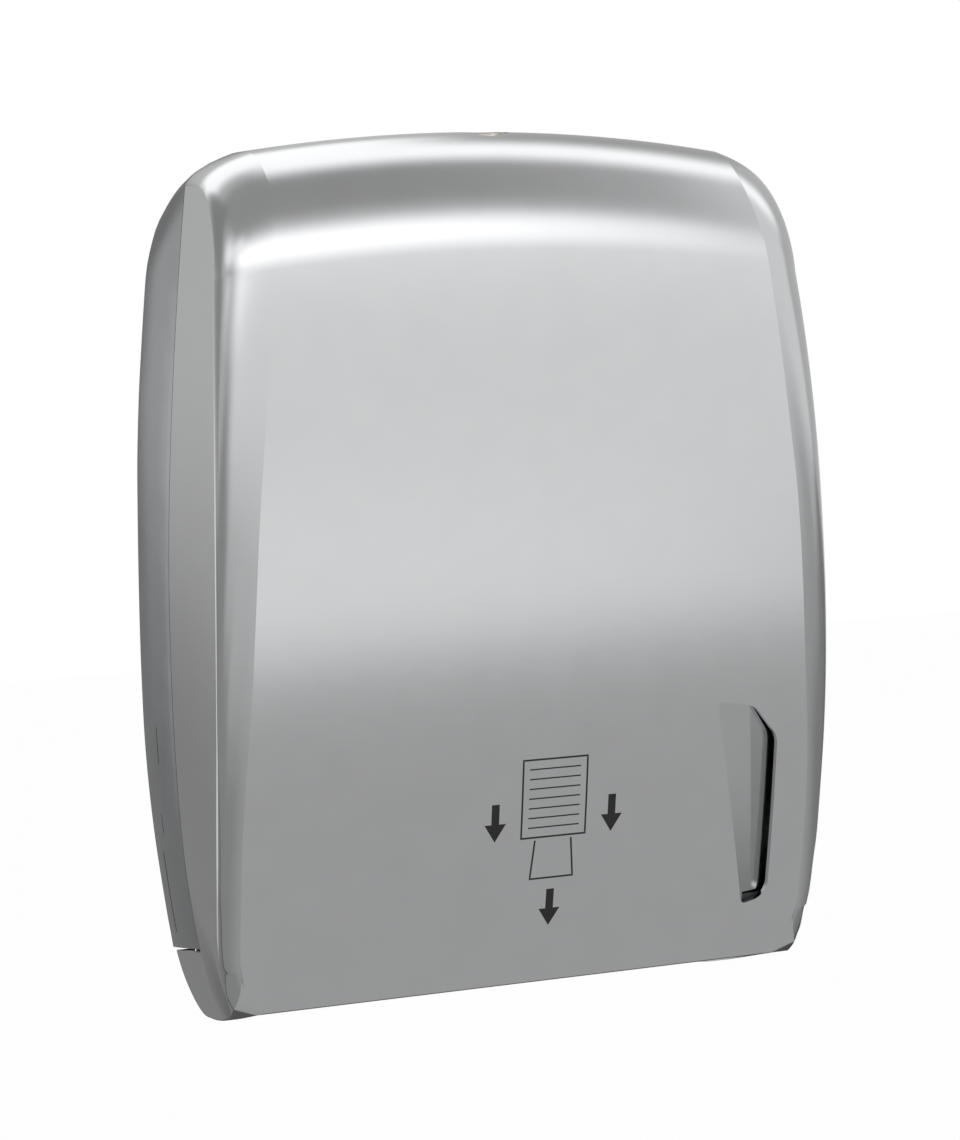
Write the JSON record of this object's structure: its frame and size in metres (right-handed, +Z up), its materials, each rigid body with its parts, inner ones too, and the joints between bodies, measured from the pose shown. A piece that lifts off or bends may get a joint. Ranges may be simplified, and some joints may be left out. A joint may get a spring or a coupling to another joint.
{
  "type": "interfold paper dispenser",
  "caption": "Wall-mounted case for stacks of interfolded paper, with a hinged lockable front, a sight window and outlets below.",
  "frame": {"origin": "centre of the four wall holes, on the wall plane", "axes": "+Z up, +Y into the wall, +X to the right of a person who faces the front"},
  "size_m": [0.285, 0.129, 0.398],
  "materials": {
    "case_chrome": "satin chrome plating on moulded plastic",
    "steel": "zinc plated",
    "tray_plastic": "fine matte grain",
    "ring_plastic": "smooth",
    "lock_metal": "nickel plated die casting"
  },
  "bodies": {
    "base": {"back_shell": "case_chrome", "left_hinge_pin": "steel", "right_hinge_pin": "steel", "paper_tray": "tray_plastic", "left_outlet_ring": "ring_plastic", "right_outlet_ring": "ring_plastic", "tray_screws": "steel", "keeper_screws": "steel", "stack_divider": "tray_plastic", "latch_keeper": "steel"},
    "cover": {"cover_shell": "case_chrome", "lock_housing": "lock_metal", "lock_nut": "steel"},
    "lock": {"lock_barrel": "lock_metal", "lock_cam": "steel", "cam_washer": "steel", "cam_screw": "steel"}
  },
  "joints": [
    {"name": "cover_hinge", "type": "hinge", "parent": "base", "child": "cover", "pos_m": [0, -0.024, -0.1914], "axis": [1, 0, 0], "range_deg": [0, 100]},
    {"name": "lock_turn", "type": "hinge", "parent": "cover", "child": "lock", "pos_m": [0, -0.066, 0.165], "axis": [0, 0, -1], "range_deg": [0, 90]}
  ]
}
